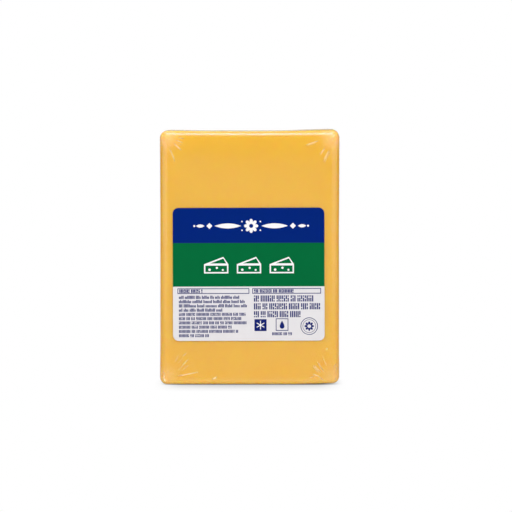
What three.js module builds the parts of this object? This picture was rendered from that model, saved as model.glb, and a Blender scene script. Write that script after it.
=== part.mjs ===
// A retail block of cheddar in tight clear shrink film, with a paper label stuck on its front.
// Millimetres, +Z up. The block stands on a short end, the label faces -Y, and +X is to the right
// of someone reading the label. The origin is on the floor, under the middle of the block.
import * as THREE from "three";

// The block, film included: its square size, and the rounding of every edge and corner
const BLOCK_WIDTH = 78.5;
const BLOCK_DEPTH = 43;
const BLOCK_HEIGHT = 110.7;
const EDGE_RADIUS = 3.2;

// How far the tight film and the soft cheese pull the block out of square
const SIDE_WAIST = 0.15;
const TOP_LEFT_LIFT = 0.32;
const TOP_RIGHT_LIFT = 0.8;
const FOOT_RIGHT_LIFT = 0.45;

// Where those pulls start and end: shares of the half width from the middle outwards,
// and the share of the height over which the top and the foot follow them
const TOP_LEFT_REACH = [0.4, 1.05];
const TOP_RIGHT_REACH = [0.2, 1.1];
const FOOT_RIGHT_REACH = [0.45, 1];
const END_REACH = 0.2;

// The label: a rounded rectangle, a little off centre, its right end a little higher
const LABEL_WIDTH = 66.1;
const LABEL_HEIGHT = 58;
const LABEL_CORNER_RADIUS = 2.5;
const LABEL_THICKNESS = 0.125;
const LABEL_CENTRE_X = -0.45;
const LABEL_CENTRE_Z = 48.19;
const LABEL_TILT_DEGREES = 0.17;

// How finely the surfaces are divided
const EDGE_STEPS = 4;
const END_STEPS = 6;
const MIDDLE_SHARE = 0.3;
const HEIGHT_STEPS = 16;
const LABEL_CORNER_STEPS = 8;

// The block sits back by half the label's thickness, so that block and label together are centred
const BLOCK_CENTRE_Y = LABEL_THICKNESS / 2;
const FRONT_PLANE_Y = BLOCK_CENTRE_Y - BLOCK_DEPTH / 2;

const { clamp, degToRad, smoothstep } = THREE.MathUtils;

const cheeseUnderFilm = new THREE.MeshStandardMaterial({ color: 0xeeb84d, roughness: 0.3, metalness: 0 });
const labelPaper = new THREE.MeshStandardMaterial({ color: 0xe4dedd, roughness: 0.5, metalness: 0 });

// Evenly spaced shares of a flat, from one to the other, both included.
function evenShares(from, to, steps) {
  return Array.from({ length: steps + 1 }, (_, step) => from + ((to - from) * step) / steps);
}

// The places along one axis where the surface is divided. The strip beside each face turns through
// an eighth of a circle in equal angles, and the flat between the strips is divided at given shares.
function axisStops(length, flatShares) {
  const flatHalf = length / 2 - EDGE_RADIUS;
  const angles = evenShares(0, Math.PI / 4, EDGE_STEPS).slice(1);
  const strip = angles.map((angle) => flatHalf + EDGE_RADIUS * Math.tan(angle));
  const flat = flatShares.map((share) => share * flatHalf);
  return [...strip.map((stop) => -stop).reverse(), ...flat, ...strip];
}

// Moves a point of the square box onto the rounded one.
function roundOff(point) {
  const core = new THREE.Vector3(
    clamp(point.x, EDGE_RADIUS - BLOCK_WIDTH / 2, BLOCK_WIDTH / 2 - EDGE_RADIUS),
    clamp(point.y, EDGE_RADIUS - BLOCK_DEPTH / 2, BLOCK_DEPTH / 2 - EDGE_RADIUS),
    clamp(point.z, EDGE_RADIUS - BLOCK_HEIGHT / 2, BLOCK_HEIGHT / 2 - EDGE_RADIUS),
  );
  return point.sub(core).setLength(EDGE_RADIUS).add(core);
}

// Stands the rounded block on the floor and pulls it out of square: a slight waist in the sides,
// raised top corners and a lifted right end of the foot. The front and back stay flat.
function settle(point) {
  const across = point.x / (BLOCK_WIDTH / 2);
  const upward = point.z / (BLOCK_HEIGHT / 2);
  const nearTop = smoothstep(upward, 1 - 2 * END_REACH, 1);
  const nearFoot = smoothstep(-upward, 1 - 2 * END_REACH, 1);
  const topLift =
    TOP_LEFT_LIFT * smoothstep(-across, ...TOP_LEFT_REACH) +
    TOP_RIGHT_LIFT * smoothstep(across, ...TOP_RIGHT_REACH);
  const footLift = FOOT_RIGHT_LIFT * smoothstep(across, ...FOOT_RIGHT_REACH);

  point.x -= SIDE_WAIST * across * (1 - upward * upward);
  point.y += BLOCK_CENTRE_Y;
  point.z += BLOCK_HEIGHT / 2 + nearTop * topLift + nearFoot * footLift;
  return point;
}

// The block as one closed skin: a divided box whose points move to the stops, the rounding and
// the settled shape in turn.
function wrappedBlockGeometry() {
  const leftShares = evenShares(-1, -MIDDLE_SHARE, END_STEPS);
  const rightShares = evenShares(MIDDLE_SHARE, 1, END_STEPS);
  const stops = [
    axisStops(BLOCK_WIDTH, [...leftShares, ...rightShares]),
    axisStops(BLOCK_DEPTH, [-1, 1]),
    axisStops(BLOCK_HEIGHT, evenShares(-1, 1, HEIGHT_STEPS)),
  ];
  const counts = stops.map((list) => list.length - 1);
  const geometry = new THREE.BoxGeometry(...counts, ...counts);
  const positions = geometry.getAttribute("position");
  const point = new THREE.Vector3();
  for (let index = 0; index < positions.count; index += 1) {
    point.fromBufferAttribute(positions, index);
    const onStops = point.toArray().map((value, axis) => stops[axis][Math.round(value + counts[axis] / 2)]);
    settle(roundOff(point.fromArray(onStops)));
    positions.setXYZ(index, point.x, point.y, point.z);
  }
  geometry.computeVertexNormals();
  return geometry;
}

// The label's outline, centred on its own origin.
function labelOutline() {
  const right = LABEL_WIDTH / 2 - LABEL_CORNER_RADIUS;
  const top = LABEL_HEIGHT / 2 - LABEL_CORNER_RADIUS;
  const quarter = Math.PI / 2;
  const corners = [[right, top], [-right, top], [-right, -top], [right, -top]];
  const outline = new THREE.Shape();
  corners.forEach(([x, y], corner) => {
    outline.absarc(x, y, LABEL_CORNER_RADIUS, corner * quarter, (corner + 1) * quarter);
  });
  outline.closePath();
  return outline;
}

function wrappedBlock() {
  const mesh = new THREE.Mesh(wrappedBlockGeometry(), cheeseUnderFilm);
  mesh.name = "wrapped_block";
  return mesh;
}

// The label stands up from its drawing plane, turns by its tilt, and lies on the block's front.
function label() {
  const geometry = new THREE.ExtrudeGeometry(labelOutline(), {
    depth: LABEL_THICKNESS,
    bevelEnabled: false,
    curveSegments: LABEL_CORNER_STEPS,
  });
  geometry.rotateX(Math.PI / 2);
  const mesh = new THREE.Mesh(geometry, labelPaper);
  mesh.name = "label";
  mesh.rotation.y = -degToRad(LABEL_TILT_DEGREES);
  mesh.position.set(LABEL_CENTRE_X, FRONT_PLANE_Y, LABEL_CENTRE_Z);
  return mesh;
}

const cheddarPack = new THREE.Group();
cheddarPack.add(wrappedBlock(), label());

export default cheddarPack;
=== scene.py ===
"""A block of cheddar in tight clear shrink film, with a printed paper label on its front.

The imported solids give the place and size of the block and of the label. Two pieces stand for the block:
the cheese, and the film drawn tight over it. The label keeps its solid, and its print is laid on it as thin
ink. Sizes in the classes are millimetres unless a name or a docstring says otherwise.
"""

import itertools
import logging
import math
import random
from collections.abc import Iterator
from dataclasses import dataclass
from enum import Enum
from typing import NamedTuple

import bmesh
import bpy
import numpy as np
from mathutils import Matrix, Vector
from mathutils.geometry import tessellate_polygon


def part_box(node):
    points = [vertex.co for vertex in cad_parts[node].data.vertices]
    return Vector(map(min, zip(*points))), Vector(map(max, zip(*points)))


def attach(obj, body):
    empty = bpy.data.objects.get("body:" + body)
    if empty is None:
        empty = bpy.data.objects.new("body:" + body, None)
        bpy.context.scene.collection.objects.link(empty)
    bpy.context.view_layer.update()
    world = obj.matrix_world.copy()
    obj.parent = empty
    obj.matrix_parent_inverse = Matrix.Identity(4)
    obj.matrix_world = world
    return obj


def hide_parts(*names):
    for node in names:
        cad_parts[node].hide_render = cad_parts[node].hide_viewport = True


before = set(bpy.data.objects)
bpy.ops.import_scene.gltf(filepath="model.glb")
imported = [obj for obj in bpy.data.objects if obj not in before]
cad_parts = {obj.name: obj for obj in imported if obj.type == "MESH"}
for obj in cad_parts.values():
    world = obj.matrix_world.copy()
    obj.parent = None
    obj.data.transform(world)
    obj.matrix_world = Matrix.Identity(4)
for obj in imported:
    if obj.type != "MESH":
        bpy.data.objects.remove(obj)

log = logging.getLogger("cheddar")

MM = 0.001
BODY = "root"
# The film's haze, which also carries its painted glints, sheen and floor reflection
HAZE_AND_SHEEN = "film_haze_and_sheen"
PURE_WHITE = (1.0, 1.0, 1.0, 1.0)

# A colour mix's sockets by number, because its other kinds of mix share their names
MIX_FACTOR, MIX_A, MIX_B, MIX_RESULT = 0, 6, 7, 2

# The part of a noise texture's range that nearly all of it keeps to
NOISE_LOW, NOISE_HIGH = 0.3, 0.7

# The width of the label's fine lines
FINE_LINE = 0.32

Colour = tuple[float, float, float]
Place = tuple[float, float]
Edges = tuple[float, float, float, float]
Loop = list[Place]
Shape = list[Loop]
Socket = bpy.types.NodeSocket


def display(red: int, green: int, blue: int) -> Colour:
    """Turns a colour as a screen shows it into the linear one that a shader takes, by the sRGB curve.

    Args:
        red: Red, from 0 to 255.
        green: Green, from 0 to 255.
        blue: Blue, from 0 to 255.

    Returns:
        The linear colour, each part from 0 to 1.
    """
    shares = np.array((red, green, blue)) / 255
    linear = np.where(shares <= 0.04045, shares / 12.92, ((shares + 0.055) / 1.055) ** 2.4)
    return tuple(float(part) for part in linear)


def opaque(colour: Colour) -> tuple[float, float, float, float]:
    """Gives a colour the fourth part that colour sockets hold."""
    return (*colour, 1.0)


def texture_scale(size: float) -> float:
    """Gives the texture scale, per metre, whose features are about size millimetres wide."""
    return 1 / (size * MM)


def smoothstep(values: np.ndarray, low: float, high: float) -> np.ndarray:
    """Rises smoothly from 0 for values up to low to 1 for those from high on."""
    share = np.clip((values - low) / (high - low), 0, 1)
    return share * share * (3 - 2 * share)


def band(values: np.ndarray, low: float, high: float, soft: float) -> np.ndarray:
    """Is 1 between low and high and 0 outside, with edges that reach soft to either side."""
    return smoothstep(values, low - soft, low + soft) * (1 - smoothstep(values, high - soft, high + soft))


class Nodes:
    """Lays out the nodes of one shader tree."""

    def __init__(self, tree: bpy.types.NodeTree) -> None:
        """Takes the tree and empties it."""
        self.tree = tree
        tree.nodes.clear()

    def add(self, kind: str, sockets: dict | None = None, **settings: object) -> bpy.types.Node:
        """Adds a node.

        Args:
            kind: The kind of node, by its name without the ShaderNode that most of them start with.
            sockets: Values or source sockets, by the name or number of the input that takes them.
            settings: The node's own properties.

        Returns:
            The new node.
        """
        node = self.tree.nodes.new(kind if kind.startswith("NodeGroup") else "ShaderNode" + kind)
        for name, value in settings.items():
            setattr(node, name, value)
        for name, value in (sockets or {}).items():
            if isinstance(value, Socket):
                self.tree.links.new(value, node.inputs[name])
            else:
                node.inputs[name].default_value = value
        return node

    def read(self, kind: str, output: str | int, sockets: dict | None = None, **settings: object) -> Socket:
        """Adds a node as add does, and gives the one of its outputs that is asked for."""
        return self.add(kind, sockets, **settings).outputs[output]

    def math(self, operation: str, *values: float | Socket) -> Socket:
        """Adds a calculation with one or two values, and gives its result."""
        return self.read("Math", "Value", dict(enumerate(values)), operation=operation)

    def blend(self, share: Socket, first: Socket | tuple, second: Socket | tuple) -> Socket:
        """Adds a mix of two colours, and gives the mixed one."""
        colours = {MIX_FACTOR: share, MIX_A: first, MIX_B: second}
        return self.read("Mix", MIX_RESULT, colours, data_type="RGBA")

    def layer(self, share: Socket, below: Socket, above: Socket) -> Socket:
        """Adds a mix of two shaders, and gives the mixed one."""
        return self.read("MixShader", "Shader", {0: share, 1: below, 2: above})

    def effect(self, effect: "Effect", sockets: dict) -> bpy.types.NodeOutputs:
        """Places a surface effect's group with its own values, and gives its outputs."""
        return self.add("Group", sockets, node_tree=effect.group()).outputs


def new_material(name: str) -> tuple[bpy.types.Material, Nodes]:
    """Makes a material.

    Args:
        name: Its name.

    Returns:
        The material, and its empty tree.
    """
    material = bpy.data.materials.new(name)
    material.use_nodes = True
    return material, Nodes(material.node_tree)


class Effect(Enum):
    """The surface effects that more than one material uses, each kept as one node group."""

    MOTTLE = "soft_mottle"
    GRAIN = "fine_grain"

    def group(self) -> bpy.types.NodeTree:
        """Gives the effect's node group, built the first time that it is asked for."""
        return bpy.data.node_groups.get(self.value) or self._build()

    def _build(self) -> bpy.types.NodeTree:
        """Builds the effect's node group.

        Returns:
            The new group.
        """
        tree = bpy.data.node_groups.new(self.value, "ShaderNodeTree")
        if self is Effect.MOTTLE:
            self._fill_mottle(tree)
        else:
            self._fill_grain(tree)
        return tree

    @staticmethod
    def _sockets(tree: bpy.types.NodeTree, way: str, kind: str, names: tuple[str, ...]) -> None:
        """Adds sockets of one kind to a group, as its inputs or its outputs."""
        for name in names:
            tree.interface.new_socket(name, in_out=way, socket_type="NodeSocket" + kind)

    @staticmethod
    def _noise(nodes: Nodes, scale: Socket, detail: float, roughness: float) -> Socket:
        """Adds a noise that keeps its place on the piece, and gives its values."""
        look = {"Scale": scale, "Detail": detail, "Roughness": roughness}
        return nodes.read("TexNoise", "Fac", {"Vector": nodes.read("TexCoord", "Object"), **look})

    @classmethod
    def _fill_mottle(cls, tree: bpy.types.NodeTree, detail: float = 4.0, roughness: float = 0.55) -> None:
        """Fills a group that drifts between two colours in soft clouds.

        Args:
            tree: The group to fill.
            detail: How many finer layers the clouds have.
            roughness: How strong those layers are.
        """
        cls._sockets(tree, "INPUT", "Color", ("Colour", "Cloud"))
        cls._sockets(tree, "INPUT", "Float", ("Scale", "Amount"))
        cls._sockets(tree, "OUTPUT", "Color", ("Colour",))
        nodes = Nodes(tree)
        given = nodes.add("NodeGroupInput").outputs
        cloud = cls._noise(nodes, given["Scale"], detail, roughness)
        amount = nodes.read("MapRange", "Result", {
            "Value": cloud, "From Min": NOISE_LOW, "From Max": NOISE_HIGH, "To Max": given["Amount"],
        })
        nodes.add("NodeGroupOutput", {"Colour": nodes.blend(amount, given["Colour"], given["Cloud"])})

    @classmethod
    def _fill_grain(cls, tree: bpy.types.NodeTree, detail: float = 3.0, roughness: float = 0.6) -> None:
        """Fills a group that gives a fine relief, and a roughness that follows it.

        Args:
            tree: The group to fill.
            detail: How many finer layers the relief has.
            roughness: How strong those layers are.
        """
        cls._sockets(tree, "INPUT", "Float", ("Scale", "Smoothest", "Roughest"))
        cls._sockets(tree, "OUTPUT", "Float", ("Height", "Roughness"))
        nodes = Nodes(tree)
        given = nodes.add("NodeGroupInput").outputs
        grain = cls._noise(nodes, given["Scale"], detail, roughness)
        rough = nodes.read("MapRange", "Result", {
            "Value": grain, "From Min": NOISE_LOW, "From Max": NOISE_HIGH,
            "To Min": given["Smoothest"], "To Max": given["Roughest"],
        })
        nodes.add("NodeGroupOutput", {"Height": grain, "Roughness": rough})


@dataclass(frozen=True)
class GrainedFinish:
    """A finish that drifts between two colours and has a fine grain in its surface."""

    slot: str
    colour: Colour
    cloud: Colour
    cloud_size: float
    cloud_amount: float
    grain_size: float
    grain_depth: float
    grain_strength: float
    smoothest: float
    roughest: float
    shine: float

    def material(self) -> bpy.types.Material:
        """Gives the material, made the first time that it is asked for."""
        name = self.slot + "_finish"
        return bpy.data.materials.get(name) or self._make(name)

    def _make(self, name: str) -> bpy.types.Material:
        """Makes the material.

        Args:
            name: Its name.

        Returns:
            The material.
        """
        material, nodes = new_material(name)
        colour = nodes.effect(Effect.MOTTLE, {
            "Colour": opaque(self.colour), "Cloud": opaque(self.cloud),
            "Scale": texture_scale(self.cloud_size), "Amount": self.cloud_amount,
        })["Colour"]
        grain = nodes.effect(Effect.GRAIN, {
            "Scale": texture_scale(self.grain_size), "Smoothest": self.smoothest, "Roughest": self.roughest,
        })
        bump = nodes.read("Bump", "Normal", {
            "Height": grain["Height"], "Strength": self.grain_strength, "Distance": self.grain_depth * MM,
        })
        shader = nodes.read("BsdfPrincipled", "BSDF", {
            "Base Color": colour, "Roughness": grain["Roughness"], "Normal": bump,
            "Specular IOR Level": self.shine, **self._depth(),
        })
        nodes.add("OutputMaterial", {"Surface": shader})
        return material

    def _depth(self) -> dict:
        """Gives the sockets that let light into the finish, which a plain one leaves alone."""
        return {}


@dataclass(frozen=True)
class CheeseFinish(GrainedFinish):
    """Pale orange cheddar: soft, a little translucent, faintly clouded, and grained by its curd."""

    slot: str = "cheese"
    colour: Colour = (0.832, 0.497, 0.0505)
    cloud: Colour = (0.807, 0.467, 0.0455)
    cloud_size: float = 11.0
    cloud_amount: float = 0.6
    grain_size: float = 0.9
    grain_depth: float = 0.02
    grain_strength: float = 0.4
    smoothest: float = 0.45
    roughest: float = 0.6
    shine: float = 0.2
    scatter: tuple[float, float, float] = (3.0, 4.5, 1.0)

    def _depth(self) -> dict:
        """Gives the sockets that let light into the cheese."""
        return {"Subsurface Weight": 1.0, "Subsurface Radius": self.scatter, "Subsurface Scale": MM}


@dataclass(frozen=True)
class PrintFinish(GrainedFinish):
    """Satin label paper or one of the inks on it: even, with a faint mottle and a fine tooth."""

    cloud_size: float = 4.0
    cloud_amount: float = 0.5
    grain_size: float = 0.35
    grain_depth: float = 0.006
    grain_strength: float = 0.5
    smoothest: float = 0.42
    roughest: float = 0.55
    shine: float = 0.01


class Stock(Enum):
    """What the label is made of: its paper, and the inks on it."""

    PAPER = PrintFinish("label_paper", display(219, 217, 219), display(213, 211, 214))
    BLUE = PrintFinish("blue_print", display(3, 34, 114), display(4, 36, 108))
    GREEN = PrintFinish("green_print", display(4, 100, 54), display(6, 96, 53))
    NAVY = PrintFinish("navy_ink", display(22, 33, 102), display(28, 39, 106))
    WHITE = PrintFinish("white_ink", display(238, 236, 236), display(230, 228, 229))


@dataclass(frozen=True)
class FilmFinish:
    """Clear shrink film: see-through and glossy, and milky where it gathers into folds. Its milk also
    paints highlights: the folds' glints, a sheen at the corners and the floor's reflection above the foot.
    """

    slot: str = "clear_film"
    refraction: float = 1.52
    most_mirrored: float = 0.2
    smoothest: float = 0.14
    roughest: float = 0.16
    grain_size: float = 3.0
    glint: Colour = (0.4, 0.58, 1.0)
    # the film's milky haze, which also paints the folds' glints, the corners' sheen and the floor's
    # reflection
    milk_and_sheen: Colour = display(253, 226, 172)
    # painted shade: the colour that darkens the cheese seen through the rounded upright edges
    edge_shade_colour: Colour = (0.9, 0.74, 0.72)
    edge_shade_start: float = 0.05
    edge_shade_end: float = 0.6
    edge_shade_turn: float = 0.4

    def material(self) -> bpy.types.Material:
        """Makes the film's material.

        Returns:
            The material.
        """
        material, nodes = new_material(self.slot + "_finish")
        # how milky the film is at each point; part of it is painted sheen and reflection
        haze = nodes.read("Attribute", "Fac", attribute_name=HAZE_AND_SHEEN)
        glance = nodes.read("Fresnel", "Fac", {"IOR": self.refraction})
        mirrored = nodes.math("MINIMUM", glance, self.most_mirrored)
        roughness = nodes.effect(Effect.GRAIN, {
            "Scale": texture_scale(self.grain_size), "Smoothest": self.smoothest, "Roughest": self.roughest,
        })["Roughness"]
        clear = nodes.read("BsdfTransparent", "BSDF", {"Color": self._painted_edge_shade(nodes)})
        gloss = nodes.read("BsdfPrincipled", "BSDF", {
            "Base Color": opaque(self.glint), "Metallic": 1.0, "Roughness": roughness,
        })
        milk_and_sheen = nodes.read("BsdfPrincipled", "BSDF", {
            "Base Color": opaque(self.milk_and_sheen), "Roughness": roughness,
        })
        film = nodes.layer(haze, nodes.layer(mirrored, clear, gloss), milk_and_sheen)
        nodes.add("OutputMaterial", {"Surface": film})
        return material

    def _painted_edge_shade(self, nodes: Nodes) -> Socket:
        """Adds a painted shade on the rounded upright edges, where the film is seen edge-on: it darkens the
        cheese that shows through there.

        Args:
            nodes: The film's nodes.

        Returns:
            The colour of the light that the film lets through.
        """
        facing = nodes.add("SeparateXYZ", {"Vector": nodes.read("TexCoord", "Normal")}).outputs
        bend = nodes.math("ABSOLUTE", nodes.math("MULTIPLY", facing["X"], facing["Y"]))
        rounded = nodes.read("MapRange", "Result", {"Value": bend, "From Max": self.edge_shade_turn})
        shaded_edge = nodes.read("MapRange", "Result", {
            "Value": nodes.read("LayerWeight", "Facing"),
            "From Min": self.edge_shade_start, "From Max": self.edge_shade_end, "To Max": rounded,
        })
        return nodes.blend(shaded_edge, PURE_WHITE, opaque(self.edge_shade_colour))


def mesh_piece(name: str, points: np.ndarray, faces: list, smooth: bool) -> bpy.types.Object:
    """Makes a mesh piece and puts it in the scene.

    Args:
        name: The piece's name.
        points: Its points, one row each, in millimetres.
        faces: Its faces, each a run of point numbers.
        smooth: Whether it is shaded as a smooth surface.

    Returns:
        The new piece.
    """
    mesh = bpy.data.meshes.new(name)
    mesh.from_pydata((points * MM).tolist(), [], faces)
    mesh.polygons.foreach_set("use_smooth", [smooth] * len(mesh.polygons))
    piece = bpy.data.objects.new(name, mesh)
    bpy.context.scene.collection.objects.link(piece)
    return piece


def join_frame(piece: bpy.types.Object, finish: GrainedFinish | FilmFinish, stands_for: str = "") -> None:
    """Dresses a finished piece and lets it ride on the pack.

    Args:
        piece: The piece.
        finish: Its finish, which names the record's material slot.
        stands_for: The solid that it stands for, if any.
    """
    piece.data.materials.clear()
    piece.data.materials.append(finish.material())
    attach(piece, BODY)
    if stands_for:
        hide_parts(stands_for)


def grid_quads(grid: np.ndarray, turned: bool) -> list[list[int]]:
    """Lists the four-sided faces between the points of a grid.

    Args:
        grid: The points' numbers, in rows.
        turned: Whether the faces run the other way round.

    Returns:
        The faces.
    """
    corners = (grid[:-1, :-1], grid[1:, :-1], grid[1:, 1:], grid[:-1, 1:])
    quads = np.stack([corner.ravel() for corner in corners], axis=1)
    return (quads[:, ::-1] if turned else quads).tolist()


def divided_box(stops: list[np.ndarray]) -> tuple[np.ndarray, list[list[int]]]:
    """Divides the skin of a box along lists of stops.

    Args:
        stops: The stops along X, Y and Z, each rising from one face to the other.

    Returns:
        The skin's points, and its four-sided faces, which all face outwards.
    """
    counts = [len(line) for line in stops]
    steps = np.meshgrid(*(np.arange(count) for count in counts), indexing="ij")
    on_skin = np.zeros(counts, bool)
    for step, count in zip(steps, counts):
        on_skin |= (step == 0) | (step == count - 1)
    numbers = np.full(counts, -1)
    numbers[on_skin] = np.arange(on_skin.sum())
    points = np.stack([line[step[on_skin]] for line, step in zip(stops, steps)], axis=1)
    quads: list[list[int]] = []
    for axis, end in itertools.product(range(3), (0, -1)):
        quads += grid_quads(np.take(numbers, end, axis=axis), (axis == 1) != (end == 0))
    return points, quads


@dataclass(frozen=True)
class WrapForm:
    """The settled form of the wrapped block: a rounded box, pulled a little out of square."""

    width: float
    depth: float
    centre_y: float
    height: float = 110.7
    edge_radius: float = 3.2
    edge_steps: int = 6
    side_waist: float = 0.15
    top_left_lift: float = 0.32
    top_right_lift: float = 0.8
    foot_right_lift: float = 0.45
    top_left_reach: Place = (0.4, 1.05)
    top_right_reach: Place = (0.2, 1.1)
    foot_right_reach: Place = (0.45, 1.0)
    end_reach: float = 0.2
    front_lift: float = 0.2
    front_lift_reach: float = 0.8
    top_pillow: float = 0.6
    pillow: float = 0.12
    pillow_reach: float = 3.0
    squareness: float = 2.0
    foot_squareness: float = 5.0

    @classmethod
    def of_solid(cls, node: str) -> "WrapForm":
        """Takes the form's width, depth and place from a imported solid.

        Args:
            node: The solid's name.

        Returns:
            The form.
        """
        low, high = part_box(node)
        size = (high - low) / MM
        return cls(size.x, size.y, (low.y + high.y) / 2 / MM)

    @property
    def half(self) -> np.ndarray:
        """Half the box's size along X, Y and Z."""
        return np.array((self.width, self.depth, self.height)) / 2

    def stops(self, axis: int, spacing: float, extra: tuple[float, ...] = ()) -> np.ndarray:
        """Lists the places along one axis where the skin is divided.

        Args:
            axis: 0 for X, 1 for Y or 2 for Z.
            spacing: About how far apart the places are on the flats.
            extra: Further places on the flats.

        Returns:
            The places, from one face to the other.
        """
        flat_half = self.half[axis] - self.edge_radius
        angles = np.linspace(0, math.pi / 4, self.edge_steps + 1)[1:]
        strip = flat_half + self.edge_radius * np.tan(angles)
        flat = np.linspace(-flat_half, flat_half, round(2 * flat_half / spacing) + 1)
        return np.concatenate((-strip[::-1], np.union1d(flat, extra), strip))

    def surface(self, flat: np.ndarray, inset: float) -> tuple[np.ndarray, np.ndarray]:
        """Moves points of the square box onto the settled form.

        Args:
            flat: Points on the square box's skin, about its own centre.
            inset: How far under the form's surface they go.

        Returns:
            The moved points, and the way that the surface faces at each.
        """
        core_half = self.half - self.edge_radius
        core = np.clip(flat, -core_half, core_half)
        facing = flat - core
        facing /= np.linalg.norm(facing, axis=1, keepdims=True)
        reach = (self.edge_radius - inset) * self._fullness(facing)
        rounded = core + facing * reach[:, None]
        rounded[:, 1] -= facing[:, 1] * np.abs(facing[:, 1]) * self._slack(rounded, core_half)
        return self._settled(rounded), facing

    def _fullness(self, facing: np.ndarray) -> np.ndarray:
        """Says how far the skin fills its edges out: just round, but fuller before and behind the foot.

        Args:
            facing: The way that the round surface faces at each point.

        Returns:
            The share of the edge radius that the skin reaches at each point.
        """
        x, y, z = np.abs(facing).T
        power = np.where(facing[:, 2] < 0, self.foot_squareness, self.squareness)
        return 1 / np.hypot(x, (y**power + z**power) ** (1 / power))

    def _slack(self, rounded: np.ndarray, core_half: np.ndarray) -> np.ndarray:
        """Says how far the front and back fall away towards their edges, most of all at the top.

        Args:
            rounded: Points of the rounded box, about its own centre.
            core_half: Half the size of the flats between the rounded edges.

        Returns:
            The fall at each point.
        """
        near = np.exp((np.abs(rounded) - core_half) / self.pillow_reach)
        ends = np.where(rounded[:, 2] > 0, self.top_pillow, self.pillow) * near[:, 2]
        return np.maximum(ends, self.pillow * near[:, 0])

    def _settled(self, points: np.ndarray) -> np.ndarray:
        """Stands rounded points on the floor, waists the sides and lifts the corners, the front ones least.

        Args:
            points: Points of the rounded box, about its own centre.

        Returns:
            The points in the part's frame.
        """
        across, backward, upward = (points / self.half).T
        near_top = smoothstep(upward, 1 - 2 * self.end_reach, 1)
        near_foot = smoothstep(-upward, 1 - 2 * self.end_reach, 1)
        top_lift = self.top_left_lift * smoothstep(-across, *self.top_left_reach)
        top_lift += self.top_right_lift * smoothstep(across, *self.top_right_reach)
        behind_front = smoothstep(backward, -1, -1 + self.front_lift_reach)
        top_lift *= self.front_lift + (1 - self.front_lift) * behind_front
        foot_lift = self.foot_right_lift * smoothstep(across, *self.foot_right_reach)
        settled = points.copy()
        settled[:, 0] -= self.side_waist * across * (1 - upward**2)
        settled[:, 1] += self.centre_y
        settled[:, 2] += self.half[2] + near_top * top_lift + near_foot * foot_lift
        return settled


@dataclass(frozen=True)
class LabelSheet:
    """Where the label lies on the pack's front, and how it is turned."""

    centre_x: float
    centre_z: float
    front_y: float
    width: float = 66.1
    height: float = 58.0
    corner_radius: float = 2.5
    tilt_degrees: float = 0.17
    front_depth: float = 1.0

    @classmethod
    def of_solid(cls, node: str) -> "LabelSheet":
        """Takes the label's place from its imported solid.

        Args:
            node: The solid's name.

        Returns:
            The sheet.
        """
        low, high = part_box(node)
        middle = (low + high) / 2 / MM
        return cls(middle.x, middle.z, low.y / MM)

    def place(self, spots: np.ndarray, lift: float) -> np.ndarray:
        """Puts spots of the label's drawing on its face.

        Args:
            spots: How far right of the label's left edge and above its lower edge each spot is.
            lift: How far they stand off the paper.

        Returns:
            The spots in the part's frame.
        """
        right, up = (spots - np.array((self.width, self.height)) / 2).T
        turn = math.radians(self.tilt_degrees)
        x = self.centre_x + right * math.cos(turn) - up * math.sin(turn)
        z = self.centre_z + right * math.sin(turn) + up * math.cos(turn)
        return np.stack((x, np.full_like(x, self.front_y - lift), z), axis=1)

    def beyond(self, points: np.ndarray) -> np.ndarray:
        """Measures how far points of the pack lie outside the label.

        Args:
            points: Points in the part's frame.

        Returns:
            Each one's distance from the label's edge over the front, and 0 or less under the label.
        """
        aside = np.abs(points[:, 0] - self.centre_x) - self.width / 2
        above = np.abs(points[:, 2] - self.centre_z) - self.height / 2
        behind = points[:, 1] - self.front_y - self.front_depth
        return np.max((aside, above, behind), axis=0)


@dataclass(frozen=True)
class Swells:
    """The slow swells that a hand-sized block of soft cheese has under tight film."""

    seed: int = 11
    count: int = 10
    shortest: float = 18.0
    longest: float = 45.0
    height: float = 0.025
    label_margin: float = 4.0
    foot_margin: float = 6.0

    def at(self, points: np.ndarray, sheet: LabelSheet) -> np.ndarray:
        """Gives the swells' height, which is nothing under the label and on the foot.

        Args:
            points: Points in the part's frame.
            sheet: The label.

        Returns:
            How far the surface stands off its even form at each point.
        """
        draw = random.Random(self.seed)
        total = np.zeros(len(points))
        for _ in range(self.count):
            way = np.array([draw.gauss(0, 1) for _ in range(3)])
            way *= 2 * math.pi / draw.uniform(self.shortest, self.longest) / np.linalg.norm(way)
            total += np.sin(points @ way + draw.uniform(0, 2 * math.pi))
        calm = smoothstep(sheet.beyond(points), 0, self.label_margin)
        calm *= smoothstep(points[:, 2], 0, self.foot_margin)
        return calm * total * self.height / math.sqrt(self.count)


@dataclass(frozen=True)
class Crease:
    """One fold of the film, measured inwards from a corner of a face along the face's two edges."""

    start: Place
    end: Place
    # how milky the crest is, which also paints the fold's glint
    strength: float
    half_width: float = 0.24
    height: float = 0.03


class FrontCorner(Enum):
    """The corners of the front, by which way each lies along X and Z."""

    TOP_LEFT = (-1, 1)
    TOP_RIGHT = (1, 1)
    FOOT_LEFT = (-1, -1)
    FOOT_RIGHT = (1, -1)


# The front's creases; each one's strength sets the milk that paints the fold's glint.
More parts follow.
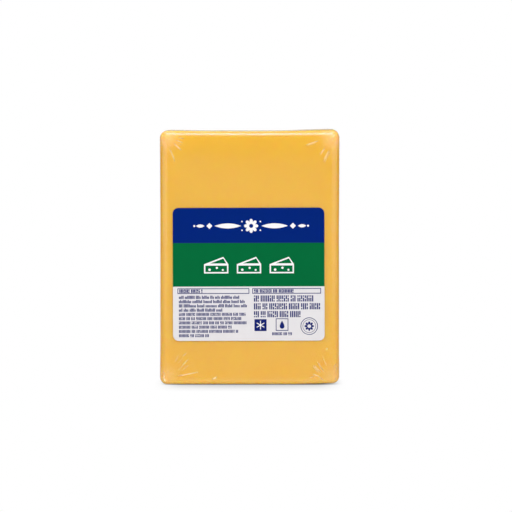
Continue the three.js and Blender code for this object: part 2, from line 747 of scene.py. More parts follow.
FRONT_CREASES: dict[FrontCorner, tuple[Crease, ...]] = {
    FrontCorner.TOP_LEFT: (
        Crease((7.9, 2.9), (10.5, 3.5), 0.6),
        Crease((6.9, 4.05), (10.2, 5.3), 0.6),
        Crease((6.2, 5.5), (9.45, 8.5), 0.9),
        Crease((4.4, 7.8), (6.7, 13.5), 0.7),
        Crease((7.3, 5.2), (9.6, 6.3), 0.2),
    ),
    FrontCorner.TOP_RIGHT: (
        Crease((9.1, 4.4), (14.8, 6.3), 0.95),
        Crease((10.1, 5.5), (14.1, 6.6), 0.25),
        Crease((6.45, 7.45), (8.5, 10.45), 0.8),
        Crease((4.6, 8.4), (7.05, 13.1), 0.75),
        Crease((4.2, 9.15), (6.75, 14.1), 0.5),
        Crease((1.6, 1.3), (3.2, 2.9), 0.7, half_width=0.4),
    ),
    FrontCorner.FOOT_LEFT: (
        Crease((7.9, 3.8), (16.9, 5.45), 0.95),
        Crease((22.9, 2.3), (25.0, 3.3), 1.0, half_width=0.42),
        Crease((8.0, 6.0), (10.4, 8.7), 0.2),
        Crease((9.9, 8.4), (12.4, 11.1), 0.45),
        Crease((10.0, 12.4), (11.6, 13.9), 0.5),
        Crease((9.6, 6.1), (12.6, 8.6), 0.25),
        Crease((7.8, 9.2), (10.2, 12.0), 0.12),
        Crease((6.6, 9.8), (8.2, 13.0), 0.1),
        Crease((0.7, 6.1), (2.4, 4.4), 0.45),
        Crease((3.4, 5.5), (3.9, 5.8), 0.5),
        Crease((1.2, 2.4), (2.1, 4.1), 0.9, half_width=0.5),
        Crease((1.2, 2.5), (3.0, 1.4), 0.9, half_width=0.5),
    ),
    FrontCorner.FOOT_RIGHT: (
        Crease((8.4, 3.0), (11.7, 4.5), 1.0),
        Crease((6.7, 1.4), (8.7, 2.9), 0.4),
        Crease((11.1, 3.55), (12.9, 2.8), 0.6),
        Crease((8.0, 5.1), (11.5, 8.5), 0.65),
        Crease((9.0, 5.1), (11.7, 7.7), 0.4),
        Crease((6.8, 5.3), (9.75, 9.8), 0.55),
        Crease((5.6, 7.8), (7.5, 12.6), 0.18),
        Crease((5.3, 15.4), (5.8, 15.7), 0.6, half_width=0.4),
        Crease((0.8, 9.2), (2.8, 7.1), 0.35),
        Crease((0.5, 7.5), (1.6, 4.5), 0.4),
        Crease((1.2, 7.8), (2.7, 5.6), 0.2),
        Crease((1.0, 1.8), (2.1, 1.9), 0.6, half_width=0.5),
    ),
}


@dataclass(frozen=True)
class CreaseFan:
    """The loose fan of creases out of a corner of any face but the front, each drawn between bounds."""

    count: tuple[int, int] = (3, 5)
    degrees: Place = (14.0, 76.0)
    start: Place = (5.5, 8.5)
    length: Place = (2.0, 6.0)
    strength: Place = (0.4, 1.0)

    def creases(self, draw: random.Random) -> tuple[Crease, ...]:
        """Draws one corner's creases.

        Args:
            draw: The source of chance.

        Returns:
            The creases.
        """
        made = []
        for _ in range(draw.randint(*self.count)):
            angle = math.radians(draw.uniform(*self.degrees))
            near = draw.uniform(*self.start)
            far = near + draw.uniform(*self.length)
            ends = [(reach * math.cos(angle), reach * math.sin(angle)) for reach in (near, far)]
            made.append(Crease(*ends, strength=draw.uniform(*self.strength)))
        return tuple(made)


@dataclass(frozen=True)
class FaceCorner:
    """One corner of one face of the block, from which folds are measured."""

    face_axis: int
    signs: tuple[int, int, int]

    @property
    def on_front(self) -> bool:
        """Whether the face is the labelled front."""
        return self.face_axis == 1 and self.signs[1] < 0

    @property
    def on_foot(self) -> bool:
        """Whether the face is the one that the pack stands on."""
        return self.face_axis == 2 and self.signs[2] < 0

    def flat_places(self, form: WrapForm, distances: np.ndarray) -> np.ndarray:
        """Finds places on the square box.

        Args:
            form: The form that the box belongs to.
            distances: How far in from the corner each place is, along the face's two edges, in the order
                of the axes.

        Returns:
            The places, about the box's centre.
        """
        places = np.tile(form.half * np.array(self.signs), (len(distances), 1))
        edges = [axis for axis in range(3) if axis != self.face_axis]
        for axis, distance in zip(edges, distances.T):
            places[:, axis] -= self.signs[axis] * distance
        return places


def face_corners() -> Iterator[FaceCorner]:
    """Lists the four corners of all six faces, one after another."""
    for axis, signs in itertools.product(range(3), itertools.product((-1, 1), repeat=3)):
        yield FaceCorner(axis, signs)


@dataclass(frozen=True)
class Fold:
    """A crease laid on the block's surface: a low ridge of gathered film, milky along its crest; the milk
    also paints the glint that the fold catches.
    """

    corner: FaceCorner
    crease: Crease
    stations: int = 14
    lanes: int = 6
    least_swell: float = 0.55
    tip_swell: float = 0.2
    tip_slope: float = 4.0

    def surface(self, form: WrapForm, inset: float) -> tuple[np.ndarray, np.ndarray]:
        """Lays the ridge on a form.

        Args:
            form: The form.
            inset: How far under the form's surface the ridge's foot lies.

        Returns:
            The ridge's points, lane by lane at one station after another, and the haze at each, which also
            paints the fold's glint.
        """
        start = np.array(self.crease.start)
        along = np.array(self.crease.end) - start
        aside = np.array((-along[1], along[0])) / np.linalg.norm(along) * self.crease.half_width
        share, lane = np.meshgrid(
            np.linspace(0, 1, self.stations + 1), np.linspace(-1, 1, self.lanes + 1), indexing="ij")
        share, lane = share.ravel(), lane.ravel()
        spots = start + share[:, None] * along + lane[:, None] * aside
        points, facing = form.surface(self.corner.flat_places(form, spots), inset)
        swell = self.least_swell + (1 - self.least_swell) * np.sin(math.pi * share)
        swell *= np.minimum(1, self.tip_swell + self.tip_slope * np.minimum(share, 1 - share))
        crest = (1 - lane**2) ** 2 * swell * self.crease.height
        return points + facing * crest[:, None], (1 - lane**4) * swell * self.crease.strength

    def quads(self, first: int) -> list[list[int]]:
        """Lists the ridge's faces, which all face outwards.

        Args:
            first: The number of its first point.

        Returns:
            The faces.
        """
        grid = first + np.arange((self.stations + 1) * (self.lanes + 1)).reshape(self.stations + 1, -1)
        turned = (math.prod(self.corner.signs) < 0) != (self.corner.face_axis == 1)
        return grid_quads(grid, turned)


@dataclass(frozen=True)
class EndSeal:
    """The film's end seal: a crimped fin that shrinks down onto the top of the block."""

    half_length: float = 36.5
    end_softness: float = 2.0
    near_y: float = -1.2
    far_y: float = 5.8
    height: float = 0.36
    rise_power: float = 0.7
    wave_share: float = 0.2
    wave_lengths: Place = (4.3, 9.1)
    wave_shift: float = 0.8
    crimp_pitch: float = 1.4
    crimp_height: float = 0.03
    edge: float = 0.12
    line_spacing: float = 0.35
    haze: float = 0.14
    least_facing: float = 0.9

    def stops_y(self) -> tuple[float, ...]:
        """Lists the places along Y where the fin needs the film divided."""
        lines = np.arange(self.near_y, self.far_y - self.edge, self.line_spacing)
        return (*lines, self.far_y - self.edge, self.far_y, self.far_y + self.edge)

    def relief(self, points: np.ndarray, facing: np.ndarray) -> tuple[np.ndarray, np.ndarray]:
        """Gives the fin's shape.

        Args:
            points: Points in the part's frame.
            facing: The way that the surface faces at each.

        Returns:
            How far the fin stands up at each point, and where it is, from 0 to 1.
        """
        x, y, _ = points.T
        inside = band(x, -self.half_length, self.half_length, self.end_softness)
        inside *= band(y, self.near_y, self.far_y, self.edge) * (facing[:, 2] > self.least_facing)
        share = np.clip((y - self.near_y) / (self.far_y - self.near_y), 0, 1)
        short, long = self.wave_lengths
        ripple = np.sin(x / short + self.wave_shift) * np.sin(x / long)
        wave = 1 - self.wave_share + self.wave_share * ripple
        crimp = self.crimp_height * np.sin(2 * math.pi * y / self.crimp_pitch)
        return inside * (self.height * share**self.rise_power * wave + crimp), inside


@dataclass(frozen=True)
class LapSeam:
    """The seam down the back, where one edge of the film is welded over the other."""

    left_x: float = -6.5
    right_x: float = 3.0
    height: float = 0.09
    edge: float = 0.12
    haze: float = 0.03
    least_facing: float = 0.7

    def stops_x(self) -> tuple[float, ...]:
        """Lists the places along X where the seam needs the film divided."""
        return tuple(x + shift for x in (self.left_x, self.right_x) for shift in (-self.edge, 0, self.edge))

    def relief(self, points: np.ndarray, facing: np.ndarray) -> tuple[np.ndarray, np.ndarray]:
        """Gives the seam's shape.

        Args:
            points: Points in the part's frame.
            facing: The way that the surface faces at each.

        Returns:
            How far the seam stands off the film at each point, and where it is, from 0 to 1.
        """
        inside = band(points[:, 0], self.left_x, self.right_x, self.edge)
        inside *= facing[:, 1] > self.least_facing
        return self.height * inside, inside


@dataclass
class CheeseBlock:
    """The cheese itself, just under the film."""

    form: WrapForm
    sheet: LabelSheet
    swells: Swells = Swells()
    finish: CheeseFinish = CheeseFinish()
    inset: float = 0.16
    spacing: float = 2.4

    def build(self) -> bpy.types.Object:
        """Makes the cheese and puts it in the frame.

        Returns:
            The piece.
        """
        flat, quads = divided_box([self.form.stops(axis, self.spacing) for axis in range(3)])
        points, facing = self.form.surface(flat, self.inset)
        points += facing * self.swells.at(points, self.sheet)[:, None]
        piece = mesh_piece("cheese_block", points, quads, smooth=True)
        join_frame(piece, self.finish, stands_for="wrapped_block")
        return piece


@dataclass
class ShrinkFilm:
    """The film drawn tight over the cheese, with folds at its corners, a back seam and an end seal."""

    form: WrapForm
    sheet: LabelSheet
    swells: Swells = Swells()
    finish: FilmFinish = FilmFinish()
    seal: EndSeal = EndSeal()
    seam: LapSeam = LapSeam()
    fan: CreaseFan = CreaseFan()
    inset: float = 0.03
    spacing: float = 1.6
    fold_inset: float = 0.015
    seed: int = 23
    # Film gathered at the corners: its haze also paints a sheen there.
    gather_in: float = 3.4
    gather_reach: float = 3.9
    gather_haze_and_sheen: float = 0.36
    foot_gather: float = 0.55
    # Painted reflection of the white floor: a milky band just above the foot.
    floor_reflection_height: float = 1.9
    floor_reflection_reach: float = 1.1
    painted_floor_reflection: float = 0.09

    def build(self) -> bpy.types.Object:
        """Makes the film and puts it in the frame.

        Returns:
            The piece.
        """
        extras = (self.seam.stops_x(), self.seal.stops_y(), ())
        stops = [self.form.stops(axis, self.spacing, extra) for axis, extra in enumerate(extras)]
        flat, faces = divided_box(stops)
        sheet, facing = self.form.surface(flat, self.inset)
        lift, milk_and_sheen = self._relief(sheet, facing)
        points = [sheet + facing * lift[:, None]]
        haze = [milk_and_sheen]
        count = len(sheet)
        for fold in self._folds():
            ridge, milk_and_sheen = fold.surface(self.form, self.fold_inset)
            points.append(ridge)
            haze.append(milk_and_sheen)
            faces += fold.quads(count)
            count += len(ridge)
        piece = mesh_piece("shrink_film", np.concatenate(points), faces, smooth=True)
        piece.visible_shadow = False
        # the haze, with the painted glints, sheen and floor reflection in it, goes onto the film
        attribute = piece.data.attributes.new(HAZE_AND_SHEEN, "FLOAT", "POINT")
        attribute.data.foreach_set("value", np.concatenate(haze).astype(np.float32))
        join_frame(piece, self.finish, stands_for="wrapped_block")
        return piece

    def _folds(self) -> Iterator[Fold]:
        """Lays every corner's creases on the block: those that show in front, and drawn ones elsewhere.

        Yields:
            Each fold.
        """
        draw = random.Random(self.seed)
        for corner in face_corners():
            if corner.on_foot:
                continue
            creases = self.fan.creases(draw)
            if corner.on_front:
                creases = FRONT_CREASES[FrontCorner((corner.signs[0], corner.signs[2]))]
            yield from (Fold(corner, crease) for crease in creases)

    def _relief(self, points: np.ndarray, facing: np.ndarray) -> tuple[np.ndarray, np.ndarray]:
        """Works out how the sheet stands off the even form, and how milky it is, painted sheen and
        reflection included.

        Args:
            points: Points in the part's frame.
            facing: The way that the surface faces at each.

        Returns:
            The lift off the form and the haze, from 0 to 1, at each point; the haze holds painted sheen and
            reflection too.
        """
        lift = self.swells.at(points, self.sheet)
        haze = self._haze_and_painted_sheen(points)
        for part in (self.seal, self.seam):
            height, inside = part.relief(points, facing)
            lift += height
            haze = np.maximum(haze, part.haze * inside)
        return lift, haze

    def _haze_and_painted_sheen(self, points: np.ndarray) -> np.ndarray:
        """Gives the haze of the film that gathers at each face's corners, with a painted sheen there, and a
        painted reflection of the floor in a band above the foot.

        Args:
            points: Points in the part's frame.

        Returns:
            The haze, with the painted sheen and reflection, at each point.
        """
        # painted reflection of the floor, as a milky band above the foot
        from_floor_reflection = (points[:, 2] - self.floor_reflection_height) / self.floor_reflection_reach
        haze = self.painted_floor_reflection * np.exp(-(from_floor_reflection**2))
        # each corner's gathered haze, with a painted sheen in it
        for corner in face_corners():
            middle = corner.flat_places(self.form, np.full((1, 2), self.gather_in))
            distance = np.linalg.norm(points - self.form.surface(middle, 0)[0], axis=1)
            most = self.gather_haze_and_sheen * (self.foot_gather if corner.signs[2] < 0 else 1)
            haze = np.maximum(haze, most * np.exp(-((distance / self.gather_reach) ** 2)))
        return haze


def rectangle(left: float, low: float, right: float, high: float) -> Loop:
    """Draws a rectangle between two upright and two level edges."""
    return [(left, low), (right, low), (right, high), (left, high)]


def outlined(left: float, low: float, right: float, high: float, line: float) -> Shape:
    """Draws the outline of a rectangle as a band of even width, with its window."""
    window = rectangle(left + line, low + line, right - line, high - line)
    return [rectangle(left, low, right, high), window]


def arc(centre: Place, radius: float, first: float, last: float, steps: int) -> Loop:
    """Draws part of a circle in straight steps, from the first angle to the last, in degrees."""
    angles = np.radians(np.linspace(first, last, steps + 1))
    return [(centre[0] + radius * math.cos(a), centre[1] + radius * math.sin(a)) for a in angles]


def disc(centre: Place, radius: float, steps: int = 28) -> Loop:
    """Draws a whole circle."""
    return arc(centre, radius, 0, 360, steps)[:-1]


def spindle(centre: Place, length: float, thickness: float, steps: int) -> Loop:
    """Draws a level spindle, full in the middle and pointed at both ends.

    Args:
        centre: Its centre.
        length: Its length.
        thickness: Its thickness in the middle.
        steps: How many straight steps each side takes.

    Returns:
        Its outline.
    """
    shares = np.linspace(-1, 1, steps + 1)
    lower = [(centre[0] + s * length / 2, centre[1] - thickness / 2 * (1 - s * s)) for s in shares]
    upper = [(x, 2 * centre[1] - y) for x, y in reversed(lower[1:-1])]
    return lower + upper


def rosette(centre: Place, radius: float, petals: int, steps: int = 12) -> Loop:
    """Draws a rosette of round petals.

    Args:
        centre: Its centre.
        radius: How far its petals reach.
        petals: How many there are.
        steps: How many straight steps each petal takes.

    Returns:
        Its outline.
    """
    notch, bluntness = 0.58, 0.7
    angles = np.linspace(0, 2 * math.pi, petals * steps, endpoint=False)
    reach = radius * (notch + (1 - notch) * np.abs(np.cos(angles * petals / 2)) ** bluntness)
    return [(centre[0] + r * math.cos(a), centre[1] + r * math.sin(a)) for r, a in zip(reach, angles)]


def asterisk(centre: Place, radius: float, arm: float, arms: int = 6) -> Loop:
    """Draws a star of straight arms.

    Args:
        centre: Its centre.
        radius: How far its arms reach.
        arm: Half of an arm's width.
        arms: How many there are.

    Returns:
        Its outline.
    """
    root = arm / math.tan(math.pi / arms)
    made = []
    for number in range(arms):
        turn = 2 * math.pi * number / arms + math.pi / 2
        for out, side in ((radius, -arm), (radius, arm), (root, arm)):
            x = centre[0] + out * math.cos(turn) - side * math.sin(turn)
            y = centre[1] + out * math.sin(turn) + side * math.cos(turn)
            made.append((x, y))
    return made


def drop(centre: Place, height: float, steps: int = 28) -> Loop:
    """Draws a drop, pointed at the top.

    Args:
        centre: Its centre.
        height: Its height.
        steps: How many straight steps it takes.

    Returns:
        Its outline.
    """
    width_share, sharpness = 0.806, 1.4
    made = []
    for angle in np.linspace(0, 2 * math.pi, steps, endpoint=False):
        aside = width_share * math.sin(angle) * math.sin(angle / 2) ** sharpness
        made.append((centre[0] - aside * height / 2, centre[1] + math.cos(angle) * height / 2))
    return made


@dataclass
class PrintLayer:
    """Shapes printed in one ink, as one thin slab each."""

    name: str
    stock: Stock
    underside: float
    shapes: list[Shape]
    thickness: float = 0.01

    def build(self, sheet: LabelSheet) -> bpy.types.Object:
        """Makes the layer and puts it in the frame.

        Args:
            sheet: The label that it is printed on.

        Returns:
            The piece.
        """
        points: list[np.ndarray] = []
        faces: list[list[int]] = []
        start = 0
        for shape in self.shapes:
            spots = np.array([spot for loop in shape for spot in loop])
            count = len(spots)
            points.append(sheet.place(spots, self.underside))
            points.append(sheet.place(spots, self.underside + self.thickness))
            faces += self._slab_faces(shape, start, count)
            start += 2 * count
        piece = mesh_piece(self.name, np.concatenate(points), faces, smooth=False)
        self._face_outwards(piece.data)
        join_frame(piece, self.stock.value)
        return piece

    @staticmethod
    def _slab_faces(shape: Shape, start: int, count: int) -> list[list[int]]:
        """Lists one slab's faces.

        Args:
            shape: Its outline, and the outlines of its windows.
            start: The number of its first point.
            count: How many points each of its two sides has.

        Returns:
            The faces of both sides and of every edge.
        """
        filled = tessellate_polygon([[Vector((*spot, 0)) for spot in loop] for loop in shape])
        made = [[start + corner for corner in triangle] for triangle in filled]
        made += [[start + count + corner for corner in triangle[::-1]] for triangle in filled]
        first = start
        for loop in shape:
            for step in range(len(loop)):
                here = first + step
                there = first + (step + 1) % len(loop)
                made.append([here, there, there + count, here + count])
            first += len(loop)
        return made

    @staticmethod
    def _face_outwards(mesh: bpy.types.Mesh) -> None:
        """Turns every face outwards.

        Args:
            mesh: A mesh of closed slabs.
        """
        turned = bmesh.new()
        turned.from_mesh(mesh)
        bmesh.ops.recalc_face_normals(turned, faces=turned.faces)
        turned.to_mesh(mesh)
        turned.free()


@dataclass(frozen=True)
class BlockRow:
    """The make-up of a row of small blocks, set in groups."""

    width: float
    gap: float
    height: float
    low_share: float = 0.0
    slit_share: float = 0.0
    low_height: float = 0.72
    slit: float = 0.16
    slit_places: tuple[float, ...] = (0.3, 0.5, 0.7)
    group: tuple[int, int] = (3, 10)

    def shapes(self, draw: random.Random, left: float, middle: float, right: float) -> Iterator[Shape]:
        """Fills a row with groups of blocks.

        Args:
            draw: The source of chance.
            left: Where the row starts.
            middle: The height of its middle.
            right: Where it ends.

        Yields:
            Each block's shape.
        """
        at = left
        count = draw.randint(*self.group)
        while at + self.width <= right:
            for low, high in self._spans(draw):
                floor = middle + (low - 0.5) * self.height
                yield [rectangle(at, floor, at + self.width, floor + (high - low) * self.height)]
            count -= 1
            at += self.width + self.gap
            if count == 0:
                count = draw.randint(*self.group)
                at += self.width

    def _spans(self, draw: random.Random) -> list[Place]:
        """Draws what one block covers of the row's height.

        Args:
            draw: The source of chance.

        Returns:
            The lower and upper end of each of its pieces, as shares of the height.
        """
        chance = draw.random()
        place = draw.choice(self.slit_places)
        if chance < self.low_share:
            return [(0.0, self.low_height)]
        if chance < self.low_share + self.slit_share:
            return [(0.0, place - self.slit / 2), (place + self.slit / 2, 1.0)]
        return [(0.0, 1.0)]


class LineStyle(Enum):
    """The label's kinds of rows."""

    SENTENCE = BlockRow(0.4, 0.15, 1.4, low_share=0.55)
    CAPTION = BlockRow(0.4, 0.17, 1.3, slit_share=0.2)
    HEADING = BlockRow(0.5, 0.16, 1.5, slit_share=0.3)
    NOTICE = BlockRow(0.54, 0.26, 2.7, slit_share=0.6)


class Spindle(NamedTuple):
    """A spindle of the ornament, by how far aside of its centre it is."""

    aside: float
    length: float
    thickness: float
    steps: int = 14


class Dot(NamedTuple):
    """A dot of a drawing, by how far aside of and above the drawing's own origin it is."""

    aside: float
    above: float
    radius: float
    steps: int


@dataclass(frozen=True)
class Ornament:
    """The blue field's ornament: a rosette between spindles, lozenges and dots, the same on both sides."""

    centre: Place = (34.2, 50.1)
    radius: float = 3.1
    petals: int = 8
    eye_radius: float = 0.9
    spindles: tuple[Spindle, ...] = (
        Spindle(10.2, 11.6, 2.2), Spindle(18.2, 2.6, 2.6, steps=2), Spindle(22.2, 3.6, 1.4))
    dots: tuple[Dot, ...] = (Dot(4.0, 1.9, 0.35, 12), Dot(4.0, -1.9, 0.35, 12), Dot(24.8, 0.0, 0.45, 14))

    def shapes(self) -> Iterator[Shape]:
        """Draws the ornament.

        Yields:
            Each part's shape.
        """
        x, y = self.centre
        yield [rosette(self.centre, self.radius, self.petals), disc(self.centre, self.eye_radius)]
        for side in (-1, 1):
            for part in self.spindles:
                yield [spindle((x + side * part.aside, y), part.length, part.thickness, part.steps)]
            for dot in self.dots:
                yield [disc((x + side * dot.aside, y + dot.above), dot.radius, dot.steps)]


@dataclass(frozen=True)
class WedgeRow:
    """The green field's row of cheese wedges, in white line. A wedge's window is the slope of its top."""

    left: float = 13.6
    low: float = 29.4
    count: int = 3
    width: float = 10.6
    gap: float = 3.7
    front_height: float = 4.0
    top_height: float = 3.2
    tip_in: float = 2.2
    line: float = 0.6
    window_left: float = 2.64
    window_right: float = 0.9
    window_low: float = 0.35
    window_tip: Place = (0.05, -0.69)
    holes: tuple[Dot, ...] = (Dot(2.4, 1.6, 0.55, 16), Dot(5.6, 2.4, 0.5, 16), Dot(8.2, 1.5, 0.45, 16))

    def shapes(self) -> Iterator[Shape]:
        """Draws the wedges.

        Yields:
            The front, the top and the holes of each wedge.
        """
        high = self.low + self.front_height
        floor = high + self.window_low
        for number in range(self.count):
            left = self.left + number * (self.width + self.gap)
            right = left + self.width
            tip = (right - self.tip_in, high + self.top_height)
            window_tip = (tip[0] + self.window_tip[0], tip[1] + self.window_tip[1])
            window = [(left + self.window_left, floor), (right - self.window_right, floor), window_tip]
            yield outlined(left, self.low, right, high, self.line)
            yield [[(left, high), (right, high), tip], window]
            for hole in self.holes:
                yield [disc((left + hole.aside, self.low + hole.above), hole.radius, hole.steps)]


@dataclass(frozen=True)
class SmallPrint:
    """The white field's two headings, and the rows of small blocks under them."""

    seed: int = 5
    heading_low: float = 20.5
    heading_high: float = 22.9
    heading_lefts: Place = (2.0, 34.6)
    heading_rights: Place = (33.3, 64.6)
    heading_row_ends: Place = (13.2, 53.2)
    heading_indent: float = 0.8
    small_left: float = 2.6
    small_first: float = 19.0
    small_pitch: float = 1.86
    small_ends: tuple[float, ...] = (29.2, 31.5, 32.4, 21.7, 31.8, 29.8, 32.4, 25.9, 28.5, 15.8)
    sentence_rows: int = 4
    notice_left: float = 35.3
    notice_first: float = 18.4
    notice_pitch: float = 3.42
    notice_ends: tuple[float, ...] = (61.3, 64.2, 56.0)

    def shapes(self) -> Iterator[Shape]:
        """Draws the headings and then the rows."""
        yield from self._headings(random.Random(self.seed))
        yield from self._rows(random.Random(self.seed + 1))

    def _headings(self, draw: random.Random) -> Iterator[Shape]:
        """Draws the two outlined headings, each with a short row of blocks.

        Args:
            draw: The source of chance.

        Yields:
            Each part's shape.
        """
        low, high = self.heading_low, self.heading_high
        for left, right, row_end in zip(self.heading_lefts, self.heading_rights, self.heading_row_ends):
            yield outlined(left, low, right, high, FINE_LINE)
            start = left + self.heading_indent
            yield from LineStyle.HEADING.value.shapes(draw, start, (low + high) / 2, row_end)

    def _rows(self, draw: random.Random) -> Iterator[Shape]:
        """Draws the small rows on the left and the larger ones on the right.

        Args:
            draw: The source of chance.

        Yields:
            Each block's shape.
        """
        for number, right in enumerate(self.small_ends):
            style = LineStyle.SENTENCE if number < self.sentence_rows else LineStyle.CAPTION
            middle = self.small_first - number * self.small_pitch
            yield from style.value.shapes(draw, self.small_left, middle, right)
        for number, right in enumerate(self.notice_ends):
            middle = self.notice_first - number * self.notice_pitch
            yield from LineStyle.NOTICE.value.shapes(draw, self.notice_left, middle, right)


@dataclass(frozen=True)
class IconRow:
    """The white field's three marks: a star in a square, a drop in a box over a short row, and a badge."""

    seed: int = 7
    square: Edges = (35.5, 4.2, 40.8, 9.4)
    star_centre: Place = (38.15, 6.8)
    star_radius: float = 1.9
    star_arm: float = 0.17
    box: Edges = (44.8, 4.3, 50.3, 9.7)
    drop_centre: Place = (47.55, 7.0)
    drop_height: float = 3.6
    row_left: float = 43.2
    row_middle: float = 3.0
    row_right: float = 52.0
    badge_centre: Place = (59.4, 6.3)
    badge_rings: tuple[Place, ...] = ((3.8, 3.5), (2.9, 2.72))
    ring_steps: int = 40
    flower_radius: float = 2.1
    petals: int = 8
    petal_steps: int = 6
    eye_radius: float = 0.8
    eye_steps: int = 16

    def star(self) -> Loop:
        """Draws the star, as on things that are kept cold."""
        return asterisk(self.star_centre, self.star_radius, self.star_arm)

    def shapes(self) -> Iterator[Shape]:
        """Draws the marks, with the star left open.

        Yields:
            Each part's shape.
        """
        yield [rectangle(*self.square), self.star()[::-1]]
        yield outlined(*self.box, FINE_LINE)
        yield [drop(self.drop_centre, self.drop_height)]
        yield from LineStyle.CAPTION.value.shapes(
            random.Random(self.seed), self.row_left, self.row_middle, self.row_right)
        for ring in self.badge_rings:
            yield [disc(self.badge_centre, radius, self.ring_steps) for radius in ring]
        flower = rosette(self.badge_centre, self.flower_radius, self.petals, self.petal_steps)
        yield [flower, disc(self.badge_centre, self.eye_radius, self.eye_steps)]


@dataclass
class FrontLabel:
    """The label: white paper under two fields of colour, with its drawings and rows of small blocks."""

    sheet: LabelSheet
    green_top: float = 42.79
    white_top: float = 23.67
    field_line: float = 0.3
    corner_steps: int = 8
    above_paper: float = 0.002
    above_field: float = 0.014
    ornament: Ornament = Ornament()
    wedges: WedgeRow = WedgeRow()
    small_print: SmallPrint = SmallPrint()
    icons: IconRow = IconRow()

    def build(self) -> list[bpy.types.Object]:
        """Dresses the paper, and prints every layer on it.

        Returns:
            The paper and the printed pieces.
        """
        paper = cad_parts["label"]
        paper.data.materials.clear()
        paper.data.materials.append(Stock.PAPER.value.material())
        white = [*self.ornament.shapes(), *self.wedges.shapes(), [self.icons.star()]]
        navy = [*self.small_print.shapes(), *self.icons.shapes()]
        layers = (
            PrintLayer("blue_field", Stock.BLUE, self.above_paper, [[self._blue_outline()]]),
            PrintLayer("green_field", Stock.GREEN, self.above_paper, [[self._green_outline()]]),
            PrintLayer("field_line", Stock.NAVY, self.above_field, [[self._line_outline()]]),
            PrintLayer("white_print", Stock.WHITE, self.above_field, white),
            PrintLayer("navy_print", Stock.NAVY, self.above_paper, navy),
        )
        return [paper, *(layer.build(self.sheet) for layer in layers)]

    def _blue_outline(self) -> Loop:
        """Draws the blue field, which ends in the label's two upper corners.

        Returns:
            Its outline.
        """
        radius = self.sheet.corner_radius
        right = self.sheet.width
        top = self.sheet.height
        upper_right = arc((right - radius, top - radius), radius, 0, 90, self.corner_steps)
        upper_left = arc((radius, top - radius), radius, 90, 180, self.corner_steps)
        return [(0, self.green_top), (right, self.green_top), *upper_right, *upper_left]

    def _green_outline(self) -> Loop:
        """Draws the green field, across the whole label."""
        return rectangle(0, self.white_top, self.sheet.width, self.green_top)

    def _line_outline(self) -> Loop:
        """Draws the dark line between the blue and the green field."""
        half = self.field_line / 2
        return rectangle(0, self.green_top - half, self.sheet.width, self.green_top + half)


@dataclass(frozen=True)
class SoftBox:
    """A soft studio lamp, aimed at the middle of the pack. Its place, size and aim are in metres."""

    name: str
    place: tuple[float, float, float]
    size: tuple[float, float]
    watts: float
    mirrored: bool = True
    lights_floor: bool = True
    aim: tuple[float, float, float] = (0.0, 0.0, 0.055)

    def build(self) -> bpy.types.Object:
        """Makes the lamp, which the camera doesn't see.

        Returns:
            The lamp.
        """
        lamp = bpy.data.lights.new(self.name, "AREA")
        lamp.shape = "RECTANGLE"
        lamp.size, lamp.size_y = self.size
        lamp.energy = self.watts
        made = bpy.data.objects.new(self.name, lamp)
        made.location = self.place
        made.rotation_euler = (Vector(self.aim) - Vector(self.place)).to_track_quat("-Z", "Y").to_euler()
        made.visible_camera = False
        made.visible_glossy = self.mirrored
        bpy.context.scene.collection.objects.link(made)
        return made


@dataclass(frozen=True)
class FloorShade:
    """A soft shade before and behind the pack's foot. Sizes are in metres.

    A fade is how far from the middle the shade starts to thin out, and how far it is gone.
    """

    reach: float
    depth: float
    left_fade: Place
    right_fade: Place

    def add(self, nodes: Nodes) -> Socket:
        """Adds the shade to the floor.

        Args:
            nodes: The floor's nodes.

        Returns:
            The share of white that the shade leaves.
        """
        across = nodes.read("SeparateXYZ", "X", {"Vector": nodes.read("TexCoord", "Object")})
        left, right = (
            nodes.read("MapRange", "Result", {
                "Value": across, "From Min": side * gone, "From Max": side * full,
            }, interpolation_type="SMOOTHSTEP")
            for side, (full, gone) in ((-1, self.left_fade), (1, self.right_fade))
        )
        deepest = nodes.read("MapRange", "Result", {
            "Value": nodes.math("MULTIPLY", left, right), "To Min": 1.0, "To Max": 1 - self.depth,
        })
        openness = nodes.read("AmbientOcclusion", "AO", {"Distance": self.reach})
        return nodes.read("MapRange", "Result", {"Value": openness, "To Min": deepest})


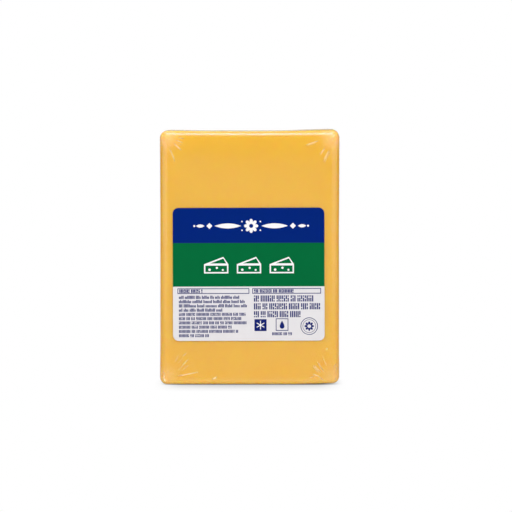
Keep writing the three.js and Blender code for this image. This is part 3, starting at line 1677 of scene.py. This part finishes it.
@dataclass(frozen=True)
class Studio:
    """A pale floor, soft light all round and a white background. The floor's size is in metres."""

    floor_size: float = 5.0
    floor_colour: Colour = (0.9, 0.9, 0.92)
    wide_shade: FloorShade = FloorShade(0.056, 0.8, (0.029, 0.0425), (0.029, 0.0425))
    contact_shade: FloorShade = FloorShade(0.003, 0.61, (0.033, 0.04), (0.025, 0.047))
    surround: float = 0.1
    lamps: tuple[SoftBox, ...] = (
        SoftBox("key_lamp", (0.0, -1.23, 2.03), (2.0, 0.55), 19.1, mirrored=False),
        SoftBox("edge_lamp", (0.0, -1.23, 2.03), (0.5, 0.55), 14.3),
        SoftBox("fill_lamp", (0.0, -1.2, 0.14), (0.9, 0.25), 2.4, mirrored=False),
        SoftBox("top_lamp", (0.0, 0.2, 1.2), (1.8, 1.6), 7.0),
        SoftBox("left_lamp", (-0.8, -0.8, 0.15), (1.6, 0.3), 2.35),
        SoftBox("right_lamp", (0.8, -0.8, 0.15), (1.6, 0.3), 2.35),
        SoftBox("front_card", (0.0, -1.4, 0.06), (0.2, 0.12), 0.042),
        SoftBox("back_lamp", (0.0, 1.9, 0.9), (1.6, 0.6), 18.0, mirrored=False, lights_floor=False),
        SoftBox("left_fill", (-1.3, 0.9, 0.7), (0.9, 0.5), 9.0, mirrored=False, lights_floor=False),
        SoftBox("right_fill", (1.3, 0.9, 0.7), (0.9, 0.5), 9.0, mirrored=False, lights_floor=False),
    )

    def build(self) -> None:
        """Makes the floor, the lamps and the surroundings."""
        spared = bpy.data.collections.new("floor_spared")
        spared.objects.link(self._build_floor())
        spared.collection_objects[0].light_linking.link_state = "EXCLUDE"
        for lamp in self.lamps:
            made = lamp.build()
            if not lamp.lights_floor:
                made.light_linking.receiver_collection = spared
        self._build_world()
        settings = bpy.context.scene.view_settings
        settings.view_transform = "Standard"
        settings.look = "None"

    def _build_floor(self) -> bpy.types.Object:
        """Lays the floor: pale and diffuse for the light, and white with a soft contact shade as seen.

        Returns:
            The floor.
        """
        edge = self.floor_size / 2 / MM
        corners = np.array([(*corner, 0) for corner in rectangle(-edge, -edge, edge, edge)])
        floor = mesh_piece("floor", corners, [[0, 1, 2, 3]], smooth=False)
        material, nodes = new_material("pale_floor")
        shade = nodes.math("MULTIPLY", self.wide_shade.add(nodes), self.contact_shade.add(nodes))
        lit = nodes.read("BsdfDiffuse", "BSDF", {"Color": opaque(self.floor_colour)})
        white = nodes.read("Emission", "Emission", {"Color": PURE_WHITE, "Strength": shade})
        seen = nodes.read("LightPath", "Is Camera Ray")
        nodes.add("OutputMaterial", {"Surface": nodes.layer(seen, lit, white)})
        floor.data.materials.append(material)
        return floor

    def _build_world(self) -> None:
        """Makes the surroundings: white where the camera sees them, and dimmer as a light."""
        world = bpy.data.worlds.new("studio")
        world.use_nodes = True
        bpy.context.scene.world = world
        nodes = Nodes(world.node_tree)
        seen = nodes.read("LightPath", "Is Camera Ray")
        dim, white = (
            nodes.read("Background", "Background", {"Color": PURE_WHITE, "Strength": strength})
            for strength in (self.surround, 1.0)
        )
        nodes.add("OutputWorld", {"Surface": nodes.layer(seen, dim, white)})


@dataclass(frozen=True)
class PhotoView:
    """The photograph's view: square on to the front, from a little above, through a long lens."""

    distance: float = 2000.0
    elevation_degrees: float = 1.5
    frame_width: float = 223.2
    aim: tuple[float, float, float] = (2.75, -21.4, 56.15)
    sensor: float = 36.0

    def build(self) -> None:
        """Makes the camera and gives it to the scene."""
        lens = bpy.data.cameras.new("photo_camera")
        lens.sensor_width = self.sensor
        lens.lens = self.sensor * self.distance / self.frame_width
        camera = bpy.data.objects.new("photo_camera", lens)
        lift = math.radians(self.elevation_degrees)
        back = Vector((0, -math.cos(lift), math.sin(lift)))
        camera.location = (Vector(self.aim) + back * self.distance) * MM
        camera.rotation_euler = (-back).to_track_quat("-Z", "Y").to_euler()
        bpy.context.scene.collection.objects.link(camera)
        bpy.context.scene.camera = camera


def main() -> None:
    """Builds the camera, the studio and the pack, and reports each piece."""
    logging.basicConfig(level=logging.INFO, format="%(name)s %(message)s")
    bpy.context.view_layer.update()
    PhotoView().build()
    Studio().build()
    form = WrapForm.of_solid("wrapped_block")
    sheet = LabelSheet.of_solid("label")
    pieces = [CheeseBlock(form, sheet).build(), ShrinkFilm(form, sheet).build(), *FrontLabel(sheet).build()]
    for piece in pieces:
        log.info("%s: %d faces, %s", piece.name, len(piece.data.polygons), piece.data.materials[0].name)


if __name__ == "__main__":
    main()
